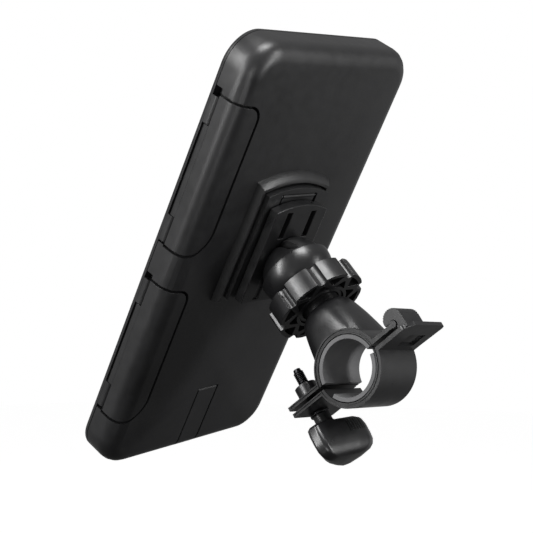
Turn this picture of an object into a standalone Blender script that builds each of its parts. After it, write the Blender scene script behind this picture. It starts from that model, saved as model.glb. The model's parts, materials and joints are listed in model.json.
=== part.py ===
"""Bicycle phone mount: a handlebar clamp, a ball joint and a hard case that slides onto it.

Sizes are in millimetres and are scaled to metres as each mesh is made.
World frame: the origin is the centre of the handlebar bore, +X runs along the bar, +Z is up,
and the rider looks at the screen from -Y.
The clamp is drawn in a frame leaned about X: its z points from the bar to the ball.
The case is drawn in its own frame: x across, y out of its back, z towards its top edge.
"""
import math

import bmesh
import bpy
from mathutils import Matrix, Vector

MM = 0.001
GAP = 0.3                      # clearance between two separate pieces
EPS = 0.5                      # how far a cutter runs past the face it opens

# --- clamp -----------------------------------------------------------------------------------
CLAMP_LEAN = 34.1              # degrees about X
NECK_LEAN = 40.7               # the neck leans a little more than the jaws
CLAMP_HALF = 12.0              # half length along the bar
BORE_R = 11.1                  # 22.2 mm handlebar
LINER_OUT_R = 12.7
JAW_IN_R = 13.0
JAW_OUT_R = 15.0
UPPER_FLANGE = (1.5, 3.1)      # z of the upper jaw's flanges
LOWER_FLANGE = (-1.6, 0.0)     # z of the lower jaw's flanges
LOWER_RISE = 1.2               # the empty clamp is closed a little past round
FLANGE_TIP_Y = -30.5
TONGUE = (24.9, 2.45)          # y, z of the bead that the hook swings on
TONGUE_R = 1.35
HOOK = (25.5, 4.2)             # y, z of the hook's outer round
HOOK_R = 4.0
HOOK_X = (-0.5, 11.5)
BRACKET_TIP_Y = 30.6
BRACKET_PLAN = ((-12.5, 17.0, 0), (12.4, 17.0, 0), (12.4, 28.0, 1.5), (7.6, 30.6, 1.5),
                (-12.5, 30.6, 2.0))
WINDOW = (-7.2, 3.3, 17.6, 24.4)   # low x, high x, low y, high y
SCREW = (0.5, -26.5)           # x, y of the clamp screw
SCREW_R = 2.0
SCREW_Z = (-9.8, 17.3)
BOSS_R = 4.3
BOSS_TOP = 10.0
HUB_TOP = -3.2
HUB_R = 3.4
# height, scale of the plan and share of the round hub in it, for the thumb knob
KNOB_STATIONS = ((-22.4, 0.50, 0), (-22.1, 0.66, 0), (-21.4, 0.80, 0), (-20.2, 0.91, 0),
                 (-18.4, 0.98, 0), (-15.5, 1.0, 0), (-12.0, 1.0, 0), (-9.6, 0.96, 0),
                 (-8.4, 0.86, 0.05), (-7.6, 0.70, 0.25), (-7.0, 0.50, 0.6), (-6.5, 0.40, 0.9),
                 (-5.8, 0.30, 1.0), (HUB_TOP, 0.30, 1.0))
# plan of the thumb paddle about the screw: x, y and corner radius
KNOB_PLAN = ((14.3, 0.3, 1.2), (13.4, 4.7, 2.0), (4.9, 6.2, 8.0), (-3.5, 8.0, 8.0),
             (-9.5, 9.0, 5.0), (-14.2, 7.2, 2.5), (-15.2, 1.0, 6.0), (-12.9, -6.5, 3.0),
             (-9.0, -8.4, 2.0), (-2.4, -7.2, 6.0), (6.0, -4.4, 8.0))
NECK_TOP = 34.3
# height, half width along the bar, half width across it and squareness of the neck
NECK = ((4.0, 11.7, 12.4, 5.0), (9.0, 11.8, 12.7, 4.0), (14.0, 11.7, 12.5, 3.2),
        (18.0, 11.4, 12.1, 2.7), (22.0, 11.0, 11.4, 2.4), (25.0, 10.6, 10.8, 2.2),
        (26.6, 10.1, 10.3, 2.1), (27.7, 9.3, 9.4, 2.0), (28.3, 8.4, 8.4, 2.0),
        (28.6, 7.6, 7.6, 2.0), (NECK_TOP, 7.6, 7.6, 2.0))

# --- ball joint ------------------------------------------------------------------------------
BALL_H = 49.6                  # ball centre above the bar, along the neck
BALL_R = 13.0
SOCKET_IN_R = 13.3
SOCKET_OUT_R = 14.6
SOCKET_RIM = BALL_H + 0.5
SOCKET_FOOT = 34.6
COLLAR_R = 9.4                 # threaded skirt of the socket
SKIRT_FOOT = 31.4
NUT_Z = (30.8, 39.3)
NUT_R = 18.4
NUT_LOBES = 8

# --- case ------------------------------------------------------------------------------------
CASE_TURN = (-34.3, 8.1, 3.0)  # degrees about X, Y and Z, turned as X * Z * Y
BALL_IN_CASE = Vector((0.0, 16.67, 8.05))
HALF_W = 47.5
HALF_H = 92.5
CORNER_R = 13.5
EDGE_R = 6.5                   # rounding of the back edge
FRAME_FRONT = -15.5
FRAME_BACK = -13.6
SHELL_FRONT = -13.3
CAVITY_X = 43.0
CAVITY_Z = 88.0
CAVITY_R = 9.0
LATCH_T = 2.0
LATCH_EDGE = 36.0              # x of a near latch's free edge on the back
PIN_X = 46.0
PIN_Y = -12.0
KNUCKLE_R = 1.45
# low z and high z of each latch, its pin groove, its own knuckle and the frame's two knuckles
LATCH_ROWS = {
    "upper": {"latch": (8.0, 68.5), "groove": (7.6, 71.3), "own": (19.4, 56.5),
              "frame": ((8.4, 19.1), (56.8, 67.5))},
    "lower": {"latch": (-68.5, -8.0), "groove": (-68.9, -5.4), "own": (-56.2, -19.6),
              "frame": ((-67.5, -56.5), (-19.3, -8.5))},
}
LATCH_FRONT = -10.2
LATCH_GAP = 1.1
FAR_WRAP = 40.0                # degrees that the far side's latches wrap over the edge
DOOR_HALF = 5.4
DOOR_T = 1.8
DOOR_HINGE_Z = -60.9
SLIT_X = (5.6, 8.6)            # the slits in the ball's column and in the plate
# half width, foot, corner height and arch height of each arched outline
PLATE = (15.1, -10.2, 30.1, 32.9)
RECEIVER = (17.9, -10.8, 34.9, 38.0)
SEAT = (18.6, -16.0, 35.6, 39.0)
PLATEAU = ((-0.6, (21.6, -13.8, 38.6, 43.2)), (0.3, (21.4, -13.7, 38.4, 42.9)),
           (1.6, (20.6, -13.2, 37.7, 41.9)), (2.5, (20.0, -12.9, 37.0, 40.9)),
           (3.0, (19.5, -12.6, 36.5, 40.1)))
PLATE_Y = (5.4, 9.2)
RECEIVER_Y = (0.5, 5.0)
RAIL_TOP = 17.5
TONGUE_PIN = (4.15, 34.2)      # y, z of the release tongue's pin
SCREW_SPOTS = ((-15.0, -7.0), (15.0, -7.0), (-15.0, 28.0), (15.0, 28.0))


# --- outlines --------------------------------------------------------------------------------

def arc(cx, cy, radius, start, end, steps):
    """Points along an arc, with both ends, angles in degrees."""
    angles = [math.radians(start + (end - start) * i / steps) for i in range(steps + 1)]
    return [(cx + radius * math.cos(a), cy + radius * math.sin(a)) for a in angles]


def rounded_rect(half_x, half_y, radius, steps=5, centre=(0.0, 0.0)):
    cx, cy = centre
    points = []
    for sx, sy, start in ((1, 1, 0), (-1, 1, 90), (-1, -1, 180), (1, -1, 270)):
        points += arc(cx + sx * (half_x - radius), cy + sy * (half_y - radius),
                      radius, start, start + 90, steps)
    return points


def rounded(corners, steps=4):
    """A closed outline from corners (x, y, radius), each turned into an arc by its bisector."""
    points = []
    count = len(corners)
    for i, (x, y, radius) in enumerate(corners):
        here = Vector((x, y))
        if radius <= 0:
            points.append((x, y))
            continue
        before = (Vector(corners[i - 1][:2]) - here).normalized()
        after = (Vector(corners[(i + 1) % count][:2]) - here).normalized()
        half = before.angle(after) / 2
        middle = here + (before + after).normalized() * (radius / math.sin(half))
        first = here + before * (radius / math.tan(half)) - middle
        last = here + after * (radius / math.tan(half)) - middle
        for k in range(steps + 1):
            spoke = first.lerp(last, k / steps).normalized() * radius
            points.append(tuple(middle + spoke))
    return points


def arched(half, low, corner_z, top_z, steps=8):
    """A tall outline with a flat foot and an arched top, as (x, z)."""
    rise = top_z - corner_z
    radius = (half * half + rise * rise) / (2 * rise)
    swing = math.degrees(math.asin(half / radius))
    top = arc(0.0, top_z - radius, radius, 90 - swing, 90 + swing, steps)
    return [(-half, low), (half, low)] + top


# --- solids ----------------------------------------------------------------------------------

def finish_bmesh(bm):
    bmesh.ops.remove_doubles(bm, verts=bm.verts, dist=1e-5)
    bmesh.ops.recalc_face_normals(bm, faces=bm.faces)
    return bm


def loft(rings):
    """A closed solid through rings of the same number of 3D points."""
    bm = bmesh.new()
    loops = [[bm.verts.new(p) for p in ring] for ring in rings]
    count = len(loops[0])
    for low, high in zip(loops, loops[1:]):
        for i in range(count):
            j = (i + 1) % count
            bm.faces.new((low[i], low[j], high[j], high[i]))
    bm.faces.new(list(reversed(loops[0])))
    bm.faces.new(loops[-1])
    return finish_bmesh(bm)


def place(point, axis, depth):
    """A 2D outline point, set in 3D on the plane across an axis."""
    a, b = point
    return {"X": (depth, a, b), "Y": (a, depth, b), "Z": (a, b, depth)}[axis]


def prism(outline, axis, low, high):
    return loft([[place(p, axis, low) for p in outline], [place(p, axis, high) for p in outline]])


def turned(profile, centre, axis="Z", steps=32, ring=False):
    """A profile of (radius, height) turned about an axis through centre."""
    bm = bmesh.new()
    rows = []
    for radius, height in profile:
        if radius < 1e-6:
            rows.append([bm.verts.new((0, 0, height))] * steps)
            continue
        rows.append([bm.verts.new((radius * math.cos(math.tau * i / steps),
                                   radius * math.sin(math.tau * i / steps), height))
                     for i in range(steps)])
    pairs = list(zip(rows, rows[1:]))
    if ring:
        pairs.append((rows[-1], rows[0]))
    for low, high in pairs:
        for i in range(steps):
            j = (i + 1) % steps
            corners = list(dict.fromkeys((low[i], low[j], high[j], high[i])))
            if len(corners) > 2:
                bm.faces.new(corners)
    turn = {"Z": Matrix(), "Y": Matrix.Rotation(math.radians(-90), 4, "X"),
            "X": Matrix.Rotation(math.radians(90), 4, "Y")}[axis]
    bmesh.ops.transform(bm, matrix=Matrix.Translation(centre) @ turn, verts=bm.verts)
    return finish_bmesh(bm)


def rod(centre, axis, radius, low, high, steps=24):
    return turned([(0, low), (radius, low), (radius, high), (0, high)], centre, axis, steps)


def tube(centre, axis, inner, outer, low, high, steps=24):
    return turned([(inner, low), (outer, low), (outer, high), (inner, high)],
                  centre, axis, steps, ring=True)


def merged(*parts):
    """Several meshes that don't touch, in one cutter."""
    bm = bmesh.new()
    for part in parts:
        mesh = bpy.data.meshes.new("part")
        part.to_mesh(mesh)
        bm.from_mesh(mesh)
        bpy.data.meshes.remove(mesh)
    return bm


# --- objects, frames and materials -----------------------------------------------------------

COLOURS = {
    "case_black": ((0.020, 0.020, 0.021), 0.42, 0.0),
    "clamp_black": ((0.024, 0.024, 0.025), 0.36, 0.0),
    "rubber": ((0.045, 0.045, 0.047), 0.80, 0.0),
    "steel": ((0.30, 0.30, 0.31), 0.28, 1.0),
    "window": ((0.62, 0.66, 0.68), 0.08, 0.0),
    "foam": ((0.030, 0.030, 0.032), 0.95, 0.0),
    "nylon": ((0.55, 0.54, 0.50), 0.50, 0.0),
}


def material(name):
    found = bpy.data.materials.get(name)
    if found:
        return found
    colour, roughness, metallic = COLOURS[name]
    made = bpy.data.materials.new(name)
    made.use_nodes = True
    shader = made.node_tree.nodes["Principled BSDF"]
    shader.inputs["Base Color"].default_value = (*colour, 1.0)
    shader.inputs["Roughness"].default_value = roughness
    shader.inputs["Metallic"].default_value = metallic
    return made


def frame(name, matrix):
    """An empty that a group of pieces is drawn in."""
    empty = bpy.data.objects.new(name, None)
    empty.matrix_world = matrix
    empty.empty_display_size = 0.01
    bpy.context.collection.objects.link(empty)
    return empty


def pivot(name, base, point):
    """An empty on a joint's axis, at a point of its base frame in millimetres."""
    empty = bpy.data.objects.new(name, None)
    empty.parent = base
    empty.location = Vector(point) * MM
    empty.empty_display_size = 0.005
    bpy.context.collection.objects.link(empty)
    return empty


def put(name, bm, parent):
    """An object from a mesh in the base frame's millimetres, kept there under its pivot."""
    offset = parent.location / MM if parent.parent else Vector()
    bmesh.ops.translate(bm, vec=-offset, verts=bm.verts)
    bmesh.ops.scale(bm, vec=(MM, MM, MM), verts=bm.verts)
    mesh = bpy.data.meshes.new(name)
    bm.to_mesh(mesh)
    bm.free()
    mesh.shade_smooth()
    mesh.set_sharp_from_angle(angle=math.radians(32))
    obj = bpy.data.objects.new(name, mesh)
    obj.parent = parent
    bpy.context.collection.objects.link(obj)
    return obj


def piece(name, bm, parent, finish, cuts=(), joins=(), keeps=()):
    """A sub-part: what shapes keep of it, then those joined to it, then those cut from it."""
    obj = put(name, bm, parent)
    obj.data.materials.append(material(finish))
    steps = [("INTERSECT", k) for k in keeps] + [("UNION", j) for j in joins]
    steps += [("DIFFERENCE", c) for c in cuts]
    for number, (operation, shape) in enumerate(steps):
        guide = put(f"{name}_{operation.lower()}_{number}", shape, parent)
        guide.hide_render = True
        guide.display_type = "WIRE"
        step = obj.modifiers.new(guide.name, "BOOLEAN")
        step.operation = operation
        step.solver = "EXACT"
        step.object = guide
    return obj


# --- clamp pieces ----------------------------------------------------------------------------

def reach(radius, height):
    """Half width of a circle at a height above its centre."""
    return math.sqrt(radius * radius - height * height)


def angle_at(radius, height):
    return math.degrees(math.asin(height / radius))


def upper_jaw(base):
    low, high = UPPER_FLANGE
    outer = angle_at(JAW_OUT_R, high)
    rough_r = JAW_IN_R - 1.0
    inner = angle_at(rough_r, low)
    bead_y, bead_z = TONGUE
    bead = arc(bead_y, bead_z, TONGUE_R, 180 - angle_at(TONGUE_R, high - bead_z),
               angle_at(TONGUE_R, bead_z - low) - 180, 10)
    section = [(FLANGE_TIP_Y, low), (FLANGE_TIP_Y, high)]
    section += arc(0, 0, JAW_OUT_R, 180 - outer, outer, 18)
    section += bead
    section += arc(0, 0, rough_r, inner, 180 - inner, 12)
    bore = rod((0, 0, 0), "X", JAW_IN_R, -20, 20, 48)
    boss = rod((*SCREW, 0), "Z", BOSS_R, low + 0.4, BOSS_TOP, 20)
    insert_hole = rod((*SCREW, 0), "Z", 3.3, 3.4, BOSS_TOP + EPS, 16)
    screw_hole = rod((*SCREW, 0), "Z", 2.8, low - EPS, 4.0, 16)
    neck_hole = leaned(rod((0, 0, 0), "Z", 2.1, 21.0, NECK_TOP + EPS, 12))
    return piece("upper_jaw", prism(section, "X", -CLAMP_HALF, CLAMP_HALF), base, "clamp_black",
                 joins=(neck(), boss), cuts=(bore, insert_hole, screw_hole, neck_hole))


def neck():
    """The stalk: a rounded block on the jaw that draws in to a round stem."""
    rings = []
    steps = 28
    for z, half_x, half_y, power in NECK:
        ring = []
        for i in range(steps):
            c = math.cos(math.tau * i / steps)
            s = math.sin(math.tau * i / steps)
            stretch = (abs(c) ** power + abs(s) ** power) ** (-1 / power)
            ring.append((half_x * c * stretch, half_y * s * stretch, z))
        rings.append(ring)
    return leaned(loft(rings))


def leaned(bm):
    """A shape drawn in the neck's frame, turned into the clamp's."""
    turn = Matrix.Rotation(math.radians(NECK_LEAN - CLAMP_LEAN), 4, "X")
    bmesh.ops.transform(bm, matrix=turn, verts=bm.verts)
    return bm


def lower_jaw(axis):
    low, high = LOWER_FLANGE
    outer = angle_at(JAW_OUT_R, LOWER_RISE - low)
    inner = angle_at(JAW_IN_R, LOWER_RISE - high)
    section = [(BRACKET_TIP_Y, high), (BRACKET_TIP_Y, low)]
    section += arc(0, LOWER_RISE, JAW_OUT_R, -outer, outer - 180, 20)
    section += [(FLANGE_TIP_Y + 0.5, low), (FLANGE_TIP_Y + 0.5, high)]
    section += arc(0, LOWER_RISE, JAW_IN_R, inner - 180, -inner, 20)
    x0, x1, y0, y1 = WINDOW
    window = prism(rounded_rect((x1 - x0) / 2, (y1 - y0) / 2, 0.6, 2,
                                ((x0 + x1) / 2, (y0 + y1) / 2)), "Z", low - EPS, high + EPS)
    hole = rod((*SCREW, 0), "Z", 3.2, low - EPS, high + EPS, 16)
    plan = [(CLAMP_HALF, -40.0), (CLAMP_HALF, 18.0)] + rounded(BRACKET_PLAN)[2:]
    plan += [(-CLAMP_HALF, 18.0), (-CLAMP_HALF, -40.0)]
    return piece("lower_jaw", prism(section, "X", -14.0, 14.0), axis, "clamp_black",
                 keeps=(prism(plan, "Z", -20.0, 20.0),), joins=(hook(low + 0.6),),
                 cuts=(window, hole))


def hook(foot):
    """The roll on the bracket that closes round the upper jaw's bead."""
    hook_y, hook_z = HOOK
    bead_y, bead_z = TONGUE
    hollow = TONGUE_R + GAP
    lip = UPPER_FLANGE[1] + 0.5
    lip_swing = angle_at(HOOK_R, hook_z - lip)
    hollow_end = 180 - angle_at(hollow, lip - bead_z)
    outline = arc(hook_y, hook_z, HOOK_R, 180 + lip_swing, 0, 14)
    outline += [(hook_y + HOOK_R, foot), (bead_y + 0.9, foot)]
    outline += arc(bead_y, bead_z, hollow, -60, hollow_end, 10)
    return prism(outline, "X", *HOOK_X)


def liners(base, axis):
    top = angle_at(LINER_OUT_R, UPPER_FLANGE[0])
    upper = arc(0, 0, LINER_OUT_R, top, 180 - top, 18) + arc(0, 0, BORE_R, 180 - top, top, 18)
    piece("upper_liner", prism(upper, "X", -CLAMP_HALF, CLAMP_HALF), base, "rubber")
    start, end = 207, 350
    lower = (arc(0, LOWER_RISE, LINER_OUT_R, start, end, 16)
             + arc(0, LOWER_RISE, BORE_R, end, start, 16))
    piece("lower_liner", prism(lower, "X", -CLAMP_HALF, CLAMP_HALF), axis, "rubber")


def thumb_screw(axis):
    low, high = SCREW_Z
    core = [(0, low), (SCREW_R, low), (SCREW_R, high - 0.6), (SCREW_R - 0.6, high), (0, high)]
    piece("thumb_bolt", turned(core, (*SCREW, 0), "Z", 16), axis, "steel")
    x0, y0 = SCREW
    plan = rounded(KNOB_PLAN)
    rings = []
    for z, scale, share in KNOB_STATIONS:
        ring = []
        for x, y in plan:
            angle = math.atan2(y, x)
            ring.append((x0 + (1 - share) * x * scale + share * HUB_R * math.cos(angle),
                         y0 + (1 - share) * y * scale + share * HUB_R * math.sin(angle), z))
        rings.append(ring)
    hole = rod((*SCREW, 0), "Z", SCREW_R + GAP, low - GAP, 0, 16)
    piece("thumb_knob", loft(rings), axis, "clamp_black", cuts=(hole,))


def clamp_hardware(base, feed):
    insert = tube((*SCREW, 0), "Z", SCREW_R + GAP, 3.0, 3.7, BOSS_TOP + 0.2, 16)
    piece("threaded_insert", insert, base, "steel")
    washer = tube((*SCREW, 0), "Z", SCREW_R + GAP, 3.9, HUB_TOP + GAP, HUB_TOP + 1.3, 20)
    piece("screw_washer", washer, feed, "steel")


def neck_screw(base):
    foot = SOCKET_FOOT
    screw = [(0, 22.0), (1.8, 22.0), (1.8, foot + 0.2), (3.0, foot + 1.2), (0, foot + 1.2)]
    piece("neck_screw", turned(screw, (0, 0, 0), "Z", 12), base, "steel")


# --- ball joint pieces -----------------------------------------------------------------------

def socket_bowl(base):
    """The cup that holds the ball, with the skirt that the ring nut runs on."""
    pocket_r = 7.2
    start = math.degrees(math.asin(COLLAR_R / SOCKET_OUT_R))
    rim = SOCKET_RIM - BALL_H
    outside = arc(0, BALL_H, SOCKET_OUT_R, -(90 - start), angle_at(SOCKET_OUT_R, rim), 6)
    foot = -math.degrees(math.acos(pocket_r / SOCKET_IN_R))
    inside = arc(0, BALL_H, SOCKET_IN_R, angle_at(SOCKET_IN_R, rim), foot, 6)
    skirt_in = COLLAR_R - 1.4
    profile = [(2.2, SOCKET_FOOT), (skirt_in, SOCKET_FOOT), (skirt_in, SKIRT_FOOT),
               (COLLAR_R, SKIRT_FOOT)] + outside + inside
    profile += [(pocket_r, SOCKET_FOOT + 1.3), (3.5, SOCKET_FOOT + 1.3)]
    piece("socket_bowl", turned(profile, (0, 0, 0), "Z", 36, ring=True), base, "clamp_black")


def ball_seat(parent):
    """The wear ring that the ball turns on, at the foot of the socket."""
    inner, outer, low = 4.2, 6.9, SOCKET_FOOT + 1.6
    top = [(r, BALL_H - reach(SOCKET_IN_R, r)) for r in (outer, 6.0, 5.1, inner)]
    profile = [(inner, low), (outer, low)] + top
    piece("ball_seat", turned(profile, (0, 0, 0), "Z", 28, ring=True), parent, "nylon")


def lobe_radius(angle):
    """Radius of the ring nut's grip at an angle: full lobes with narrow flutes between them."""
    pitch = math.tau / NUT_LOBES
    off = abs((angle + pitch / 2) % pitch - pitch / 2)
    crown = NUT_R - 0.6 * (1 - 2 * off / pitch) ** 2
    flute_half, depth = 0.115, 1.9
    if off > flute_half:
        return crown
    return crown - depth * math.sqrt(1 - (off / flute_half) ** 2)


def ring_nut(parent):
    low, high = NUT_Z
    web = high - 1.8
    pitch = math.tau / NUT_LOBES
    offsets = (0.0, 0.058, 0.1, 0.115, 0.20, 0.30)
    angles = sorted({round((k * pitch + s * a) % math.tau, 6)
                     for k in range(NUT_LOBES) for a in offsets for s in (1, -1)})
    grip = [(lobe_radius(a) * math.cos(a), lobe_radius(a) * math.sin(a)) for a in angles]
    pockets = []
    for k in range(NUT_LOBES):
        for middle, wide_r, narrow_r, spread in (((k + 0.5) * pitch, 16.7, 12.7, 0.32),
                                                 (k * pitch, 11.0, 14.2, 0.39)):
            wide = [middle + f * spread * pitch for f in (-1, -0.5, 0, 0.5, 1)]
            outline = [(wide_r * math.cos(a), wide_r * math.sin(a)) for a in wide]
            outline += [(narrow_r * math.cos(a), narrow_r * math.sin(a))
                        for a in (middle + 0.05 * pitch, middle - 0.05 * pitch)]
            pockets.append(prism(outline, "Z", low - EPS, web))
    bore_r = COLLAR_R + GAP
    bore = [(0, low - 1), (bore_r, low - 1), (bore_r, 37.2), (12.4, high + 0.1),
            (12.4, high + 1), (0, high + 1)]
    piece("ring_nut", prism(grip, "Z", low, high), parent, "clamp_black",
          cuts=(merged(*pockets), turned(bore, (0, 0, 0), "Z", 36)))


def ball_stud(parent):
    """The ball, cut flat on the plate and slit on both sides, drawn in the case frame."""
    screw_r, flat = 2.1, 8.5
    base = PLATE_Y[1] + GAP
    out = BALL_IN_CASE.y
    profile = [(screw_r, base)] + arc(0, out, BALL_R, -angle_at(BALL_R, out - base),
                                      angle_at(BALL_R, flat), 14)
    profile += [(0, out + flat), (0, base + 8.5), (screw_r, base + 8.0)]
    z0 = BALL_IN_CASE.z
    slits = []
    for side in (1, -1):
        for end in (1, -1):
            wedge = [(base - 1.3, z0 + end * 4.5), (base + 7.7, z0 + end * 11.0),
                     (base + 7.7, z0 + end * 16.0), (base - 1.3, z0 + end * 16.0)]
            low, high = sorted((side * SLIT_X[0], side * SLIT_X[1]))
            slits.append(prism(wedge, "X", low, high))
    centre = (0, 0, z0)
    piece("ball_stud", turned(profile, centre, "Y", 36, ring=True), parent, "clamp_black",
          cuts=(merged(*slits),))
    head = PLATE_Y[0] + 0.3
    screw = [(0, head), (3.2, head), (3.2, head + 0.4), (1.8, head + 1.9), (1.8, 17.2), (0, 17.2)]
    piece("stud_screw", turned(screw, centre, "Y", 14), parent, "steel")


# --- plate and receiver ----------------------------------------------------------------------

def mount_plate(parent):
    low, high = PLATE_Y
    foot = PLATE[1]
    neck, head = low + 1.15, low + 2.75
    channel = [(8.7, low - EPS), (10.4, low - EPS), (10.4, neck), (12.7, neck), (12.7, head),
               (8.7, head)]
    channels = [prism([(side * x, y) for x, y in channel], "Z", foot - EPS, RAIL_TOP + GAP)
                for side in (1, -1)]
    z0 = BALL_IN_CASE.z
    near, far = SLIT_X
    slots = [prism([(side * near, a), (side * far, a), (side * far, b), (side * near, b)],
                   "Y", bottom, high + EPS) for side in (1, -1)
             for a, b, bottom in ((18.4, 29.8, low + 0.8), (foot + 1.0, z0 - 7.0, head + 0.4))]
    hole = [(0, low - EPS), (3.6, low - EPS), (3.6, low + 0.9), (2.1, low + 2.5),
            (2.1, high + EPS), (0, high + EPS)]
    piece("mount_plate", prism(arched(*PLATE), "Y", low, high), parent, "clamp_black",
          cuts=(merged(*channels), merged(*slots), turned(hole, (0, 0, z0), "Y", 14)))


def slide_receiver(parent):
    low, high = RECEIVER_Y
    neck, head = PLATE_Y[0] + 1.5, PLATE_Y[0] + 2.4
    rail = [(9.0, high - 0.6), (10.1, high - 0.6), (10.1, neck), (12.4, neck), (12.4, head),
            (9.0, head)]
    rails = [prism([(side * x, y) for x, y in rail], "Z", RECEIVER[1] + 0.4, RAIL_TOP)
             for side in (1, -1)]
    tongue_slot = prism(rounded_rect(10.7, 6.3, 0.8, 2, (0, 29.1)), "Y", low - EPS, high + EPS)
    pin_hole = rod((0, *TONGUE_PIN), "X", 0.55, -13.0, 13.0, 10)
    screw_holes = merged(*[rod((x, 0, z), "Y", 1.3, low - EPS, 2.7, 10) for x, z in SCREW_SPOTS])
    piece("slide_receiver", prism(arched(*RECEIVER), "Y", low, high), parent, "case_black",
          joins=rails, cuts=(tongue_slot, pin_hole, screw_holes))


def receiver_screws(parent):
    """Four countersunk screws from inside the case."""
    profile = [(0, -2.0), (2.2, -2.0), (1.0, -0.8), (1.0, 2.4), (0, 2.4)]
    for number, (x, z) in enumerate(SCREW_SPOTS, 1):
        piece(f"receiver_screw_{number}", turned(profile, (x, 0, z), "Y", 10), parent, "steel")


def release_tongue(parent, receiver):
    """The sprung catch in the receiver, hung on a cross pin at its top end."""
    outline = rounded_rect(9.6, 5.5, 0.8, 2, (0, 28.6))
    knuckle = rod((0, *TONGUE_PIN), "X", 0.85, -9.5, 9.5, 12)
    hole = rod((0, *TONGUE_PIN), "X", 0.5, -12.0, 12.0, 10)
    piece("release_tongue", prism(outline, "Y", 3.5, 4.7), parent, "case_black",
          joins=(knuckle,), cuts=(hole,))
    piece("tongue_pin", rod((0, *TONGUE_PIN), "X", 0.4, -12.6, 12.6, 10), receiver, "steel")


# --- case ------------------------------------------------------------------------------------

def plan_ring(half_x, half_z, radius, y, steps=6):
    return [(x, y, z) for x, z in rounded_rect(half_x, half_z, radius, steps)]


def inset_ring(inset, y, steps=6):
    return plan_ring(HALF_W - inset, HALF_H - inset, CORNER_R - inset, y, steps)


def edge_rings(depth, steps=5):
    """Rings over the rounded back edge of the case, at a depth below its surface."""
    radius = EDGE_R - depth
    rings = []
    for i in range(steps + 1):
        a = math.radians(90 * i / steps)
        rings.append(inset_ring(EDGE_R - radius * math.cos(a), -EDGE_R + radius * math.sin(a)))
    return rings


def wrapped(outer, inner, front, side, edge, ends):
    """A sheet round the case's side and back edge, between two depths, with shaped ends.

    edge is the x of its free edge on the back, or None where it stops on the rounding.
    ends gives the low and high z at an x.
    """
    cx, cy = HALF_W - EDGE_R, -EDGE_R
    turns = 90 if edge is not None else FAR_WRAP + (inner - LATCH_T) * 10
    columns = []
    for depth in (outer, inner):
        radius = EDGE_R - depth
        column = [(cx + radius, front)] + arc(cx, cy, radius, 0, turns, 5)
        if edge is not None:
            column += [(cx - (cx - edge) * math.sin(math.radians(a)), -depth)
                       for a in (15, 30, 45, 60, 75, 90)]
        columns.append(column)
    bm = bmesh.new()
    rows = []
    for (x, y), (deep_x, deep_y) in zip(*columns):
        low, high = ends(min(x, HALF_W))
        rows.append([bm.verts.new((side * px, py, z)) for px, py, z in
                     ((x, y, low), (x, y, high), (deep_x, deep_y, high), (deep_x, deep_y, low))])
    for row, after in zip(rows, rows[1:]):
        for i in range(4):
            j = (i + 1) % 4
            bm.faces.new((row[i], row[j], after[j], after[i]))
    bm.faces.new(rows[0])
    bm.faces.new(rows[-1])
    return finish_bmesh(bm)


def latch_ends(low, high, edge):
    """The ends of a near latch or its recess: a round top corner and a longer lower one."""
    top_r = HALF_W - EDGE_R - edge
    foot_x = 43.5
    foot_r = foot_x - edge

    def ends(x):
        drop = top_r - reach(top_r, min(top_r, max(0.0, HALF_W - EDGE_R - x)))
        rise = foot_r - reach(foot_r, min(foot_r, max(0.0, foot_x - x)))
        return low + 0.25 * max(0.0, 46.0 - x) + rise, high - drop
    return ends


def recess(row, side):
    """The pocket in the shell that one latch closes into, and the groove for its pin."""
    low, high = LATCH_ROWS[row]["latch"]
    low, high = low - LATCH_GAP, high + LATCH_GAP
    edge = LATCH_EDGE - 1.2
    ends = latch_ends(low, high, edge) if side > 0 else lambda x: (low, high)
    wing = wrapped(-2.0, LATCH_T + GAP, LATCH_FRONT - 0.4, side, edge if side > 0 else None, ends)
    groove = [(HALF_W + 2, SHELL_FRONT - 1), (HALF_W + 2, -9.9), (44.2, -9.9),
              (44.2, SHELL_FRONT - 1)]
    return wing, prism([(side * x, y) for x, y in groove], "Z", *LATCH_ROWS[row]["groove"])


def rear_shell(parent):
    rings = [inset_ring(0.0, SHELL_FRONT)] + edge_rings(0.0)
    cavity = loft([plan_ring(CAVITY_X, CAVITY_Z, CAVITY_R, SHELL_FRONT - 1),
                   plan_ring(CAVITY_X, CAVITY_Z, CAVITY_R, -6.5),
                   plan_ring(CAVITY_X - 0.6, CAVITY_Z - 0.6, CAVITY_R - 0.6, -5.1),
                   plan_ring(CAVITY_X - 2.0, CAVITY_Z - 2.0, CAVITY_R - 2.0, -4.5)])
    floor = prism(rounded_rect(33.5, 56.0, 5.0, 3), "Y", -5.0, -2.3)
    plateau = loft([[(x, y, z) for x, z in arched(*outline)] for y, outline in PLATEAU])
    seat = prism(arched(*SEAT), "Y", 0.2, 4.0)
    cuts = [cavity, floor, seat]
    for row in LATCH_ROWS:
        for side in (1, -1):
            cuts += recess(row, side)
    screw = [(0, -3.0), (2.5, -3.0), (2.5, -2.2), (1.3, -0.9), (1.3, 1.0), (0, 1.0)]
    cuts.append(merged(*[turned(screw, (x, 0, z), "Y", 10) for x, z in SCREW_SPOTS]))
    cuts += door_recess()
    piece("rear_shell", loft(rings), parent, "case_black", joins=(plateau,), cuts=cuts)


def door_section(depth, low_y, hinge_round):
    """Section (z, y) of the port door, which wraps from the back to the bottom edge."""
    cz, cy = -(HALF_H - EDGE_R), -EDGE_R
    outer = arc(cz, cy, EDGE_R, 90, 180, 5) + [(-HALF_H, low_y)]
    inner = [(-HALF_H + depth, low_y)] + arc(cz, cy, EDGE_R - depth, 180, 90, 5)
    head = [(DOOR_HINGE_Z, -depth), (DOOR_HINGE_Z, 0.0)]
    if hinge_round:
        head = arc(DOOR_HINGE_Z, -depth / 2, depth / 2, -90, 90, 6)
    return outer + inner + head


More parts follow.
